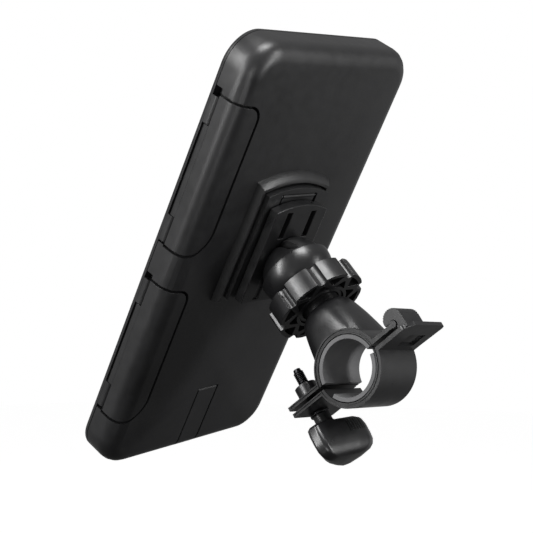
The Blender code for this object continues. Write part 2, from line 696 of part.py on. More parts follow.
def along_x(section, half):
    """A solid from a section of (z, y) points, across the case."""
    return loft([[(x, y, z) for z, y in section] for x in (-half, half)])


def door_recess():
    """The groove that the port door closes into, its pin hole and the port behind it."""
    depth = DOOR_T + GAP
    cz, cy = -(HALF_H - EDGE_R), -EDGE_R
    section = [(DOOR_HINGE_Z + 1.3, 1.0), (-HALF_H - 1.0, 1.0), (-HALF_H - 1.0, -12.0),
               (-HALF_H + depth, -12.0)] + arc(cz, cy, EDGE_R - depth, 180, 90, 5)
    section += [(DOOR_HINGE_Z + 1.3, -depth)]
    pin_hole = rod((0, -DOOR_T / 2, DOOR_HINGE_Z), "X", 0.5, -8.5, 8.5, 10)
    port = prism([(-4.6, -11.0), (4.6, -11.0), (4.6, -7.0), (-4.6, -7.0)], "Z", -94.0, -84.0)
    return [along_x(section, DOOR_HALF + 0.75), pin_hole, port]


def port_door(parent, shell):
    hole = rod((0, -DOOR_T / 2, DOOR_HINGE_Z), "X", 0.5, -7.0, 7.0, 10)
    piece("port_door", along_x(door_section(DOOR_T, -11.4, True), DOOR_HALF), parent, "case_black",
          cuts=(hole,))
    pin = rod((0, -DOOR_T / 2, DOOR_HINGE_Z), "X", 0.4, -8.1, 8.1, 10)
    piece("port_door_pin", pin, shell, "steel")


def front_frame(parent):
    rings = [inset_ring(0.9, FRAME_FRONT), inset_ring(0.2, FRAME_FRONT + 0.5),
             inset_ring(0.0, FRAME_FRONT + 1.0), inset_ring(0.0, FRAME_BACK)]
    opening = prism(rounded_rect(40.5, 85.5, 7.0, 5), "Y", FRAME_FRONT - EPS, FRAME_BACK + EPS)
    rebate = prism(rounded_rect(42.2, 87.2, 8.7, 5), "Y", -14.7, FRAME_BACK + EPS)
    knuckles = []
    holes = []
    for spans in LATCH_ROWS.values():
        for side in (1, -1):
            section = arc(side * PIN_X, PIN_Y, KNUCKLE_R, 0, 180, 6)
            section += [(side * PIN_X - KNUCKLE_R, FRAME_BACK - 0.4),
                        (side * PIN_X + KNUCKLE_R, FRAME_BACK - 0.4)]
            knuckles += [prism(section, "Z", low, high) for low, high in spans["frame"]]
            ends = spans["frame"]
            holes.append(rod((side * PIN_X, PIN_Y, 0), "Z", 0.75, ends[0][0] + 1.0,
                             ends[1][1] + EPS, 10))
    piece("front_frame", loft(rings), parent, "case_black", joins=(merged(*knuckles),),
          cuts=(opening, rebate, merged(*holes)))


def window_and_seals(parent):
    piece("touch_window", prism(rounded_rect(41.9, 86.9, 8.4, 4), "Y", -14.4, -13.8),
          parent, "window")
    ring = prism(rounded_rect(42.6, 87.6, 8.6, 4), "Y", -13.3, -11.8)
    hole = prism(rounded_rect(41.2, 86.2, 7.2, 4), "Y", -14.0, -11.0)
    piece("case_seal", ring, parent, "rubber", cuts=(hole,))
    piece("back_pad", prism(rounded_rect(33.2, 55.7, 4.7, 3), "Y", -5.6, -2.6), parent, "foam")
    for side, name in ((1, "right"), (-1, "left")):
        pad = rounded_rect(1.4, 30.0, 1.2, 2, (side * 41.2, 0.0))
        piece(f"side_pad_{name}", prism(pad, "Y", -10.8, -6.0), parent, "foam")


def latch(row, side, parent, pin_parent):
    """One latch: a flush wing round the case's edge, swinging on a pin by the front frame."""
    name = f"latch_{row}_{'right' if side > 0 else 'left'}"
    low, high = LATCH_ROWS[row]["latch"]
    own_low, own_high = LATCH_ROWS[row]["own"]
    if side > 0:
        wing = wrapped(0.0, LATCH_T, LATCH_FRONT, side, LATCH_EDGE,
                       latch_ends(low, high, LATCH_EDGE))
    else:
        wing = wrapped(0.0, LATCH_T, LATCH_FRONT, side, None, lambda x: (low, high))
    lobe = arc(PIN_X, PIN_Y, KNUCKLE_R, 180, 360, 6)
    lobe += [(PIN_X + KNUCKLE_R, -9.6), (PIN_X - 0.4, -9.6)]
    knuckle = prism([(side * x, y) for x, y in lobe], "Z", own_low, own_high)
    hole = rod((side * PIN_X, PIN_Y, 0), "Z", 0.75, own_low - 1, own_high + 1, 10)
    piece(name, wing, parent, "case_black", joins=(knuckle,), cuts=(hole,))
    first, last = LATCH_ROWS[row]["frame"]
    pin = rod((side * PIN_X, PIN_Y, 0), "Z", 0.6, first[0] + 1.3, last[1] - 0.1, 10)
    piece(f"{name}_pin", pin, pin_parent, "steel")


# --- assembly --------------------------------------------------------------------------------

def build():
    for obj in list(bpy.data.objects):
        bpy.data.objects.remove(obj)
    lean = Matrix.Rotation(math.radians(CLAMP_LEAN), 4, "X")
    clamp = frame("clamp_frame", lean)
    turn_x, turn_y, turn_z = (math.radians(a) for a in CASE_TURN)
    turn = (Matrix.Rotation(turn_x, 4, "X") @ Matrix.Rotation(turn_z, 4, "Z")
            @ Matrix.Rotation(turn_y, 4, "Y"))
    neck_turn = Matrix.Rotation(math.radians(NECK_LEAN), 4, "X")
    neck_base = frame("neck_frame", neck_turn)
    ball = neck_turn @ Vector((0, 0, BALL_H))
    case = frame("case_frame", Matrix.Translation((ball - turn @ BALL_IN_CASE) * MM) @ turn)

    jaw_axis = pivot("jaw_axis", clamp, (0, *TONGUE))
    screw_feed = pivot("screw_feed", clamp, (*SCREW, 0))
    screw_axis = pivot("screw_axis", clamp, (*SCREW, 0))
    neck_axis = pivot("neck_axis", neck_base, (0, 0, BALL_H))
    ball_centre = pivot("ball_centre", case, BALL_IN_CASE)
    plate_centre = pivot("plate_centre", case, BALL_IN_CASE)
    tongue_axis = pivot("tongue_axis", case, (0, *TONGUE_PIN))
    door_axis = pivot("door_axis", case, (0, -DOOR_T / 2, DOOR_HINGE_Z))

    upper_jaw(clamp)
    lower_jaw(jaw_axis)
    liners(clamp, jaw_axis)
    thumb_screw(screw_axis)
    clamp_hardware(clamp, screw_feed)
    neck_screw(neck_base)
    socket_bowl(neck_base)
    ball_seat(neck_axis)
    ring_nut(neck_axis)
    ball_stud(ball_centre)
    mount_plate(plate_centre)
    slide_receiver(case)
    receiver_screws(case)
    release_tongue(tongue_axis, case)
    rear_shell(case)
    port_door(door_axis, case)
    front_frame(case)
    window_and_seals(case)
    for row in LATCH_ROWS:
        for side in (1, -1):
            name = f"latch_axis_{row}_{'right' if side > 0 else 'left'}"
            axis = pivot(name, case, (side * PIN_X, PIN_Y, 0))
            latch(row, side, axis, case)


build()
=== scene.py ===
"""Looks of the bicycle phone mount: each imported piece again, with finer rounds, edges and finishes.

Sizes are in millimetres in the clamp's or the case's own frame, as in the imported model, and
are scaled to metres in the world frame as each mesh is made.
"""
import json
import math

import bmesh
import bpy
from mathutils import Matrix, Vector


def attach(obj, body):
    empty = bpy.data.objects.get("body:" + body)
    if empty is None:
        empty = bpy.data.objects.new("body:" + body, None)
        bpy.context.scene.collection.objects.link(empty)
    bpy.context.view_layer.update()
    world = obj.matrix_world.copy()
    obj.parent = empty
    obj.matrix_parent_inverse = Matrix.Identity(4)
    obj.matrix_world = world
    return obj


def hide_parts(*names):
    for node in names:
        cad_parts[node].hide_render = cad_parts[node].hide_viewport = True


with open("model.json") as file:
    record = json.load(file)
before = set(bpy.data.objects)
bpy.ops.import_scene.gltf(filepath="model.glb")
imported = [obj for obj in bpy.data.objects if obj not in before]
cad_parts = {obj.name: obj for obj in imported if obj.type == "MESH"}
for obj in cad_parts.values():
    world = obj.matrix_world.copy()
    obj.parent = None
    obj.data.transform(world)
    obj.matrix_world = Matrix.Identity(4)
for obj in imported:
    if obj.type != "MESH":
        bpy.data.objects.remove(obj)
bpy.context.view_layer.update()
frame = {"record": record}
BODY_OF = {node: body for body, nodes in frame["record"]["behaviour"]["bodies"].items()
           for node in nodes}

MM = 0.001
FINE = 3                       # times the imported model's steps on each round
GAP = 0.3                      # clearance between two separate pieces
EPS = 0.5                      # how far a cutter runs past the face it opens

# --- clamp -----------------------------------------------------------------------------------
CLAMP_LEAN = 34.1              # degrees about X
NECK_LEAN = 40.7               # the neck leans a little more than the jaws
CLAMP_HALF = 12.0              # half length along the bar
BORE_R = 11.1                  # 22.2 mm handlebar
LINER_OUT_R = 12.7
JAW_IN_R = 13.0
JAW_OUT_R = 15.0
UPPER_FLANGE = (1.5, 3.1)      # z of the upper jaw's flanges
LOWER_FLANGE = (-1.6, 0.0)     # z of the lower jaw's flanges
LOWER_RISE = 1.2               # the empty clamp is closed a little past round
FLANGE_TIP_Y = -30.5
TONGUE = (24.9, 2.45)          # y, z of the bead that the hook swings on
TONGUE_R = 1.35
HOOK = (25.5, 4.2)             # y, z of the hook's outer round
HOOK_R = 4.0
HOOK_X = (-0.5, 11.5)
FLUTE_ANGLES = (5, 150, 13)    # degrees round the hook: first, end and step of its flutes
FLUTE_R = 0.32
BRACKET_TIP_Y = 30.6
RIM_DEPTH = 0.4                # of the channel inside each jaw's raised rim
RIM_HALF = 0.42                # half width of the channel round the ring
RIM_EDGE = 0.5                 # width of the rim along the flanges
FLANGE_CHANNEL_Y = (FLANGE_TIP_Y + 1.2, -14.6)
BRACKET_PLAN = ((-12.5, 17.0, 0), (12.4, 17.0, 0), (12.4, 28.0, 1.5), (7.6, 30.6, 1.5),
                (-12.5, 30.6, 2.0))
WINDOW = (-7.2, 3.3, 17.6, 24.4)   # low x, high x, low y, high y
SCREW = (0.5, -26.5)           # x, y of the clamp screw
SCREW_R = 2.0
SCREW_Z = (-9.8, 17.3)
BOSS_R = 4.3
BOSS_TOP = 10.0
HUB_TOP = -3.2
HUB_R = 3.4
# height, scale of the plan and share of the round hub in it, for the thumb knob
PITCH = 0.7                    # of the clamp screw's thread
THREAD_DEPTH = 0.4
KNOB_STATIONS = ((-22.4, 0.50, 0), (-22.1, 0.66, 0), (-21.4, 0.80, 0), (-20.2, 0.91, 0),
                 (-18.4, 0.98, 0), (-15.5, 1.0, 0), (-12.0, 1.0, 0), (-9.6, 0.96, 0),
                 (-8.4, 0.86, 0.05), (-7.6, 0.70, 0.25), (-7.0, 0.50, 0.6), (-6.5, 0.40, 0.9),
                 (-5.8, 0.30, 1.0), (HUB_TOP, 0.30, 1.0))
RIBS = 10                      # slots between the ribs on one side of the thumb paddle
RIB_START_X = -13.0
RIB_PITCH = 1.25
RIB_SLOT_HALF = 0.25
RIB_SLOT_DEPTH = 1.1
RIB_Z = (-14.5, -5.0)
# plan of the thumb paddle about the screw: x, y and corner radius
KNOB_PLAN = ((14.3, 0.3, 1.2), (13.4, 4.7, 2.0), (4.9, 6.2, 8.0), (-3.5, 8.0, 8.0),
             (-9.5, 9.0, 5.0), (-14.2, 7.2, 2.5), (-15.2, 1.0, 6.0), (-12.9, -6.5, 3.0),
             (-9.0, -8.4, 2.0), (-2.4, -7.2, 6.0), (6.0, -4.4, 8.0))
NECK_TOP = 34.3
# height, half width along the bar, half width across it and squareness of the neck
NECK = ((4.0, 11.7, 12.4, 5.0), (9.0, 11.8, 12.7, 4.0), (14.0, 11.7, 12.5, 3.2),
        (18.0, 11.4, 12.1, 2.7), (22.0, 11.0, 11.4, 2.4), (25.0, 10.6, 10.8, 2.2),
        (26.6, 10.1, 10.3, 2.1), (27.7, 9.3, 9.4, 2.0), (28.3, 8.4, 8.4, 2.0),
        (28.6, 7.6, 7.6, 2.0), (NECK_TOP, 7.6, 7.6, 2.0))

# --- ball joint ------------------------------------------------------------------------------
BALL_H = 49.6                  # ball centre above the bar, along the neck
BALL_R = 13.0
SOCKET_IN_R = 13.3
SOCKET_OUT_R = 14.6
SOCKET_RIM = BALL_H + 0.5
SOCKET_FOOT = 34.6
COLLAR_R = 9.4                 # threaded skirt of the socket
SKIRT_FOOT = 31.4
NUT_Z = (30.8, 39.3)
NUT_R = 18.4
NUT_LOBES = 8

# --- case ------------------------------------------------------------------------------------
CASE_TURN = (-34.3, 8.1, 3.0)  # degrees about X, Y and Z, turned as X * Z * Y
BALL_IN_CASE = Vector((0.0, 16.67, 8.05))
HALF_W = 47.5
HALF_H = 92.5
CORNER_R = 13.5
EDGE_R = 6.5                   # rounding of the back edge
FRAME_FRONT = -15.5
FRAME_BACK = -13.6
SHELL_FRONT = -13.3
CAVITY_X = 43.0
CAVITY_Z = 88.0
CAVITY_R = 9.0
LATCH_T = 2.0
LATCH_EDGE = 36.0              # x of a near latch's free edge on the back
PIN_X = 46.0
PIN_Y = -12.0
KNUCKLE_R = 1.45
# low z and high z of each latch, its pin groove, its own knuckle and the frame's two knuckles
LATCH_ROWS = {
    "upper": {"latch": (8.0, 68.5), "groove": (7.6, 71.3), "own": (19.4, 56.5),
              "frame": ((8.4, 19.1), (56.8, 67.5))},
    "lower": {"latch": (-68.5, -8.0), "groove": (-68.9, -5.4), "own": (-56.2, -19.6),
              "frame": ((-67.5, -56.5), (-19.3, -8.5))},
}
LATCH_FRONT = -10.2
LATCH_GAP = 1.1
FAR_WRAP = 40.0                # degrees that the far side's latches wrap over the edge
DOOR_HALF = 5.4
DOOR_T = 1.8
DOOR_HINGE_Z = -60.9
SLIT_X = (5.6, 8.6)            # the slits in the ball's column and in the plate
# half width, foot, corner height and arch height of each arched outline
PLATE = (15.1, -10.2, 30.1, 32.9)
RECEIVER = (17.9, -10.8, 34.9, 38.0)
SEAT = (18.6, -16.0, 35.6, 39.0)
PLATEAU = ((-0.6, (21.6, -13.8, 38.6, 43.2)), (0.3, (21.4, -13.7, 38.4, 42.9)),
           (1.6, (20.6, -13.2, 37.7, 41.9)), (2.5, (20.0, -12.9, 37.0, 40.9)),
           (3.0, (19.5, -12.6, 36.5, 40.1)))
PLATE_Y = (5.4, 9.2)
RECEIVER_Y = (0.5, 5.0)
RAIL_TOP = 17.5
TONGUE_PIN = (4.15, 34.2)      # y, z of the release tongue's pin
SCREW_SPOTS = ((-15.0, -7.0), (15.0, -7.0), (-15.0, 28.0), (15.0, 28.0))


# --- outlines --------------------------------------------------------------------------------

def arc(cx, cy, radius, start, end, steps):
    """Points along an arc, with both ends, angles in degrees."""
    steps *= FINE
    angles = [math.radians(start + (end - start) * i / steps) for i in range(steps + 1)]
    return [(cx + radius * math.cos(a), cy + radius * math.sin(a)) for a in angles]


def rounded_rect(half_x, half_y, radius, steps=5, centre=(0.0, 0.0)):
    cx, cy = centre
    points = []
    for sx, sy, start in ((1, 1, 0), (-1, 1, 90), (-1, -1, 180), (1, -1, 270)):
        points += arc(cx + sx * (half_x - radius), cy + sy * (half_y - radius),
                      radius, start, start + 90, steps)
    return points


def rounded(corners, steps=4):
    """A closed outline from corners (x, y, radius), each turned into an arc by its bisector."""
    points = []
    count = len(corners)
    for i, (x, y, radius) in enumerate(corners):
        here = Vector((x, y))
        if radius <= 0:
            points.append((x, y))
            continue
        before = (Vector(corners[i - 1][:2]) - here).normalized()
        after = (Vector(corners[(i + 1) % count][:2]) - here).normalized()
        half = before.angle(after) / 2
        middle = here + (before + after).normalized() * (radius / math.sin(half))
        first = here + before * (radius / math.tan(half)) - middle
        last = here + after * (radius / math.tan(half)) - middle
        fine = steps * FINE
        for k in range(fine + 1):
            spoke = first.lerp(last, k / fine).normalized() * radius
            points.append(tuple(middle + spoke))
    return points


def arched(half, low, corner_z, top_z, steps=8):
    """A tall outline with a flat foot and an arched top, as (x, z)."""
    rise = top_z - corner_z
    radius = (half * half + rise * rise) / (2 * rise)
    swing = math.degrees(math.asin(half / radius))
    top = arc(0.0, top_z - radius, radius, 90 - swing, 90 + swing, steps)
    return [(-half, low), (half, low)] + top


# --- solids ----------------------------------------------------------------------------------

def finish_bmesh(bm):
    bmesh.ops.remove_doubles(bm, verts=bm.verts, dist=1e-5)
    bmesh.ops.recalc_face_normals(bm, faces=bm.faces)
    return bm


def loft(rings):
    """A closed solid through rings of the same number of 3D points."""
    bm = bmesh.new()
    loops = [[bm.verts.new(p) for p in ring] for ring in rings]
    count = len(loops[0])
    for low, high in zip(loops, loops[1:]):
        for i in range(count):
            j = (i + 1) % count
            bm.faces.new((low[i], low[j], high[j], high[i]))
    bm.faces.new(list(reversed(loops[0])))
    bm.faces.new(loops[-1])
    return finish_bmesh(bm)


def place(point, axis, depth):
    """A 2D outline point, set in 3D on the plane across an axis."""
    a, b = point
    return {"X": (depth, a, b), "Y": (a, depth, b), "Z": (a, b, depth)}[axis]


def prism(outline, axis, low, high):
    return loft([[place(p, axis, low) for p in outline], [place(p, axis, high) for p in outline]])


def turned(profile, centre, axis="Z", steps=32, ring=False):
    """A profile of (radius, height) turned about an axis through centre."""
    bm = bmesh.new()
    steps *= 2
    rows = []
    for radius, height in profile:
        if radius < 1e-6:
            rows.append([bm.verts.new((0, 0, height))] * steps)
            continue
        rows.append([bm.verts.new((radius * math.cos(math.tau * i / steps),
                                   radius * math.sin(math.tau * i / steps), height))
                     for i in range(steps)])
    pairs = list(zip(rows, rows[1:]))
    if ring:
        pairs.append((rows[-1], rows[0]))
    for low, high in pairs:
        for i in range(steps):
            j = (i + 1) % steps
            corners = list(dict.fromkeys((low[i], low[j], high[j], high[i])))
            if len(corners) > 2:
                bm.faces.new(corners)
    turn = {"Z": Matrix(), "Y": Matrix.Rotation(math.radians(-90), 4, "X"),
            "X": Matrix.Rotation(math.radians(90), 4, "Y")}[axis]
    bmesh.ops.transform(bm, matrix=Matrix.Translation(centre) @ turn, verts=bm.verts)
    return finish_bmesh(bm)


def rod(centre, axis, radius, low, high, steps=24):
    return turned([(0, low), (radius, low), (radius, high), (0, high)], centre, axis, steps)


def tube(centre, axis, inner, outer, low, high, steps=24):
    return turned([(inner, low), (outer, low), (outer, high), (inner, high)],
                  centre, axis, steps, ring=True)


def merged(*parts):
    """Several meshes that don't touch, in one cutter."""
    bm = bmesh.new()
    for part in parts:
        mesh = bpy.data.meshes.new("part")
        part.to_mesh(mesh)
        bm.from_mesh(mesh)
        bpy.data.meshes.remove(mesh)
    return bm


# --- materials -------------------------------------------------------------------------------

TINT_SCALE = 60.0              # clouds of slightly lighter and darker plastic, 1/m
SHEEN_SCALE = 240.0            # patches of slightly smoother and rougher surface, 1/m
NOISE_SPAN = (0.3, 0.7)        # the part of a noise's range that a ramp spreads out
GRAIN_STRENGTH = 0.35


def link(tree, source, output, target, socket):
    """Joins a node's output to another node's input."""
    tree.links.new(source.outputs[output], target.inputs[socket])


def noise(tree, coords, scale, detail):
    """A noise texture in the piece's own coordinates."""
    texture = tree.nodes.new("ShaderNodeTexNoise")
    texture.inputs["Scale"].default_value = scale
    texture.inputs["Detail"].default_value = detail
    link(tree, coords, "Object", texture, "Vector")
    return texture


def ramp(tree, source, low, high):
    """Maps a noise to a range of grey or colour between two values."""
    node = tree.nodes.new("ShaderNodeValToRGB")
    for element, position, value in zip(node.color_ramp.elements, NOISE_SPAN, (low, high)):
        element.position = position
        element.color = (*value, 1.0)
    link(tree, source, "Fac", node, "Fac")
    return node


# colour, light and dark spread, roughness range, grain scale (1/m), grain height (m), metallic
FINISHES = {
    "case_black": ((0.0085, 0.0085, 0.009), 0.15, (0.36, 0.44), 5200, 0.00003, 0.0),
    "clamp_black": ((0.0075, 0.0075, 0.008), 0.20, (0.27, 0.36), 3600, 0.000012, 0.0),
    "rubber": ((0.085, 0.085, 0.087), 0.20, (0.55, 0.75), 2600, 0.00005, 0.0),
    "steel": ((0.22, 0.22, 0.23), 0.15, (0.26, 0.40), 4200, 0.00001, 1.0),
    "black_steel": ((0.035, 0.035, 0.037), 0.20, (0.30, 0.42), 4200, 0.00001, 1.0),
    "window": ((0.05, 0.052, 0.055), 0.05, (0.05, 0.09), 300, 0.000002, 0.0),
    "foam": ((0.020, 0.020, 0.021), 0.35, (0.90, 1.0), 1500, 0.0002, 0.0),
    "nylon": ((0.50, 0.49, 0.46), 0.08, (0.45, 0.60), 2000, 0.00002, 0.0),
}


def material(name):
    """The finish's material, made once: tint, sheen and moulded or brushed grain."""
    found = bpy.data.materials.get(name)
    if found:
        return found
    colour, spread, rough, scale, height, metallic = FINISHES[name]
    made = bpy.data.materials.new(name)
    made.use_nodes = True
    tree = made.node_tree
    shader = tree.nodes["Principled BSDF"]
    shader.inputs["Metallic"].default_value = metallic
    coords = tree.nodes.new("ShaderNodeTexCoord")
    tint = ramp(tree, noise(tree, coords, TINT_SCALE, 4.0), [c * (1 - spread) for c in colour],
                [c * (1 + spread) for c in colour])
    link(tree, tint, "Color", shader, "Base Color")
    sheen = ramp(tree, noise(tree, coords, SHEEN_SCALE, 5.0), [rough[0]] * 3, [rough[1]] * 3)
    link(tree, sheen, "Color", shader, "Roughness")
    bump = tree.nodes.new("ShaderNodeBump")
    bump.inputs["Strength"].default_value = GRAIN_STRENGTH
    bump.inputs["Distance"].default_value = height
    link(tree, noise(tree, coords, scale, 2.0), "Fac", bump, "Height")
    link(tree, bump, "Normal", shader, "Normal")
    return made


# --- pieces ----------------------------------------------------------------------------------

def put(name, bm, base):
    """An object from a mesh in the base frame's millimetres, in world metres."""
    bmesh.ops.transform(bm, matrix=base @ Matrix.Diagonal((MM, MM, MM, 1.0)), verts=bm.verts)
    mesh = bpy.data.meshes.new(name)
    bm.to_mesh(mesh)
    bm.free()
    obj = bpy.data.objects.new(name, mesh)
    bpy.context.collection.objects.link(obj)
    return obj


def baked(obj, guides):
    """The object's mesh with its modifiers applied; the shapes that cut it are removed."""
    graph = bpy.context.evaluated_depsgraph_get()
    mesh = bpy.data.meshes.new_from_object(obj.evaluated_get(graph))
    obj.modifiers.clear()
    obj.data = mesh
    for guide in guides:
        bpy.data.objects.remove(guide)


# width of the small round on each piece's sharp edges, where it isn't the usual one
USUAL_EDGE = 0.2
EDGES = {
    "rear_shell": 0.35, "front_frame": 0.35, "port_door": 0.35, "slide_receiver": 0.35,
    "release_tongue": 0.1, "mount_plate": 0.45, "ball_stud": 0.3, "ring_nut": 0.4,
    "upper_jaw": 0.45, "lower_jaw": 0.45, "thumb_bolt": 0.05, "thumb_knob": 0.3,
    "latch_upper_left": 0.5, "latch_upper_right": 0.5, "latch_lower_left": 0.5,
    "latch_lower_right": 0.5, "back_pad": 0.9, "side_pad_left": 0.9, "side_pad_right": 0.9,
}
EDGE_STEPS = 2
SHARP_ANGLE = 35.0             # degrees between two faces, above which their edge is rounded
FLAT_ANGLE = 0.5               # degrees, below which two faces are one
# pieces with another finish than their kind's
LOOKS = {"thumb_bolt": "black_steel", "screw_washer": "black_steel"}


def piece(name, bm, base, finish, cuts=(), joins=(), keeps=()):
    """A sub-part: what shapes keep of it, then those joined to it, then those cut from it."""
    obj = put(f"{name}_look", bm, base)
    steps = [("INTERSECT", k) for k in keeps] + [("UNION", j) for j in joins]
    steps += [("DIFFERENCE", c) for c in cuts]
    guides = []
    for operation, shape in steps:
        guide = put("guide", shape, base)
        step = obj.modifiers.new("step", "BOOLEAN")
        step.operation = operation
        step.solver = "EXACT"
        step.object = guide
        guides.append(guide)
    baked(obj, guides)
    soften(obj, EDGES.get(name, USUAL_EDGE))
    obj.data.materials.clear()
    obj.data.materials.append(material(LOOKS.get(name, finish)))
    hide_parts(name)
    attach(obj, BODY_OF[name])
    return obj


def soften(obj, edge):
    """Small rounds on the sharp edges, with smooth normals between them."""
    bm = bmesh.new()
    bm.from_mesh(obj.data)
    bmesh.ops.dissolve_limit(bm, angle_limit=math.radians(FLAT_ANGLE), verts=bm.verts,
                             edges=bm.edges)
    bm.to_mesh(obj.data)
    bm.free()
    obj.data.shade_smooth()
    bevel = obj.modifiers.new("bevel", "BEVEL")
    bevel.width = edge * MM
    bevel.segments = EDGE_STEPS
    bevel.limit_method = "ANGLE"
    bevel.angle_limit = math.radians(SHARP_ANGLE)
    bevel.harden_normals = True
    bevel.use_clamp_overlap = True


# --- clamp pieces ----------------------------------------------------------------------------

def reach(radius, height):
    """Half width of a circle at a height above its centre."""
    return math.sqrt(radius * radius - height * height)


def angle_at(radius, height):
    return math.degrees(math.asin(height / radius))


def upper_jaw(base):
    low, high = UPPER_FLANGE
    outer = angle_at(JAW_OUT_R, high)
    rough_r = JAW_IN_R - 1.0
    inner = angle_at(rough_r, low)
    bead_y, bead_z = TONGUE
    bead = arc(bead_y, bead_z, TONGUE_R, 180 - angle_at(TONGUE_R, high - bead_z),
               angle_at(TONGUE_R, bead_z - low) - 180, 10)
    section = [(FLANGE_TIP_Y, low), (FLANGE_TIP_Y, high)]
    section += arc(0, 0, JAW_OUT_R, 180 - outer, outer, 18)
    section += bead
    section += arc(0, 0, rough_r, inner, 180 - inner, 12)
    bore = rod((0, 0, 0), "X", JAW_IN_R, -20, 20, 48)
    boss = rod((*SCREW, 0), "Z", BOSS_R, low + 0.4, BOSS_TOP, 20)
    insert_hole = rod((*SCREW, 0), "Z", 3.3, 3.4, BOSS_TOP + EPS, 16)
    screw_hole = rod((*SCREW, 0), "Z", 2.8, low - EPS, 4.0, 16)
    neck_hole = leaned(rod((0, 0, 0), "Z", 2.1, 21.0, NECK_TOP + EPS, 12))
    return piece("upper_jaw", prism(section, "X", -CLAMP_HALF, CLAMP_HALF), base, "clamp_black",
                 joins=(neck(), boss),
                 cuts=(bore, insert_hole, screw_hole, neck_hole, *end_grooves(0.0, low, high)))


def neck():
    """The stalk: a rounded block on the jaw that draws in to a round stem."""
    rings = []
    steps = 28
    for z, half_x, half_y, power in NECK:
        ring = []
        for i in range(steps):
            c = math.cos(math.tau * i / steps)
            s = math.sin(math.tau * i / steps)
            stretch = (abs(c) ** power + abs(s) ** power) ** (-1 / power)
            ring.append((half_x * c * stretch, half_y * s * stretch, z))
        rings.append(ring)
    return leaned(loft(rings))


def leaned(bm):
    """A shape drawn in the neck's frame, turned into the clamp's."""
    turn = Matrix.Rotation(math.radians(NECK_LEAN - CLAMP_LEAN), 4, "X")
    bmesh.ops.transform(bm, matrix=turn, verts=bm.verts)
    return bm


def lower_jaw(axis):
    low, high = LOWER_FLANGE
    outer = angle_at(JAW_OUT_R, LOWER_RISE - low)
    inner = angle_at(JAW_IN_R, LOWER_RISE - high)
    section = [(BRACKET_TIP_Y, high), (BRACKET_TIP_Y, low)]
    section += arc(0, LOWER_RISE, JAW_OUT_R, -outer, outer - 180, 20)
    section += [(FLANGE_TIP_Y + 0.5, low), (FLANGE_TIP_Y + 0.5, high)]
    section += arc(0, LOWER_RISE, JAW_IN_R, inner - 180, -inner, 20)
    x0, x1, y0, y1 = WINDOW
    window = prism(rounded_rect((x1 - x0) / 2, (y1 - y0) / 2, 0.6, 2,
                                ((x0 + x1) / 2, (y0 + y1) / 2)), "Z", low - EPS, high + EPS)
    hole = rod((*SCREW, 0), "Z", 3.2, low - EPS, high + EPS, 16)
    plan = [(CLAMP_HALF, -40.0), (CLAMP_HALF, 18.0)] + rounded(BRACKET_PLAN)[2:]
    plan += [(-CLAMP_HALF, 18.0), (-CLAMP_HALF, -40.0)]
    return piece("lower_jaw", prism(section, "X", -14.0, 14.0), axis, "clamp_black",
                 keeps=(prism(plan, "Z", -20.0, 20.0),), joins=(hook(low + 0.6),),
                 cuts=(window, hole, hook_ridges(), *end_grooves(LOWER_RISE, low, high)))


def end_grooves(centre_z, low, high):
    """Shallow channels in a jaw's two ends, which leave a raised rim round its section."""
    middle = (JAW_IN_R + JAW_OUT_R) / 2
    shapes = []
    for side in (1, -1):
        near, far = sorted((side * (CLAMP_HALF - RIM_DEPTH), side * (CLAMP_HALF + 1)))
        shapes.append(tube((0, 0, centre_z), "X", middle - RIM_HALF, middle + RIM_HALF,
                           near, far, 48))
        outer, inner = FLANGE_CHANNEL_Y
        slot = [(outer, low + RIM_EDGE), (inner, low + RIM_EDGE),
                (inner, high - RIM_EDGE), (outer, high - RIM_EDGE)]
        shapes.append(prism(slot, "X", near, far))
    return shapes


def hook_ridges():
    """Fine flutes along the roll of the hook."""
    away = HOOK_R + 0.1
    flutes = []
    for degrees in range(*FLUTE_ANGLES):
        a = math.radians(degrees)
        centre = (0, HOOK[0] + away * math.cos(a), HOOK[1] + away * math.sin(a))
        flutes.append(rod(centre, "X", FLUTE_R, HOOK_X[0] - 1, HOOK_X[1] + 1, 6))
    return merged(*flutes)


def knob_ribs():
    """Grip ribs on one side of the thumb paddle: narrow slots between them."""
    x0, y0 = SCREW
    slots = []
    for k in range(RIBS):
        x = RIB_START_X + RIB_PITCH * k
        surface = 8.0 + min(1.0, max(-0.6, (-3.5 - x) / 6)) - max(0.0, -10.5 - x) * 0.5
        low, high = x0 + x - RIB_SLOT_HALF, x0 + x + RIB_SLOT_HALF
        near, far = y0 + surface - RIB_SLOT_DEPTH, y0 + surface + 4
        slots.append(prism([(low, near), (high, near), (high, far), (low, far)], "Z", *RIB_Z))
    return merged(*slots)


def hook(foot):
    """The roll on the bracket that closes round the upper jaw's bead."""
    hook_y, hook_z = HOOK
    bead_y, bead_z = TONGUE
    hollow = TONGUE_R + GAP
    lip = UPPER_FLANGE[1] + 0.5
    lip_swing = angle_at(HOOK_R, hook_z - lip)
    hollow_end = 180 - angle_at(hollow, lip - bead_z)
    outline = arc(hook_y, hook_z, HOOK_R, 180 + lip_swing, 0, 14)
    outline += [(hook_y + HOOK_R, foot), (bead_y + 0.9, foot)]
    outline += arc(bead_y, bead_z, hollow, -60, hollow_end, 10)
    return prism(outline, "X", *HOOK_X)


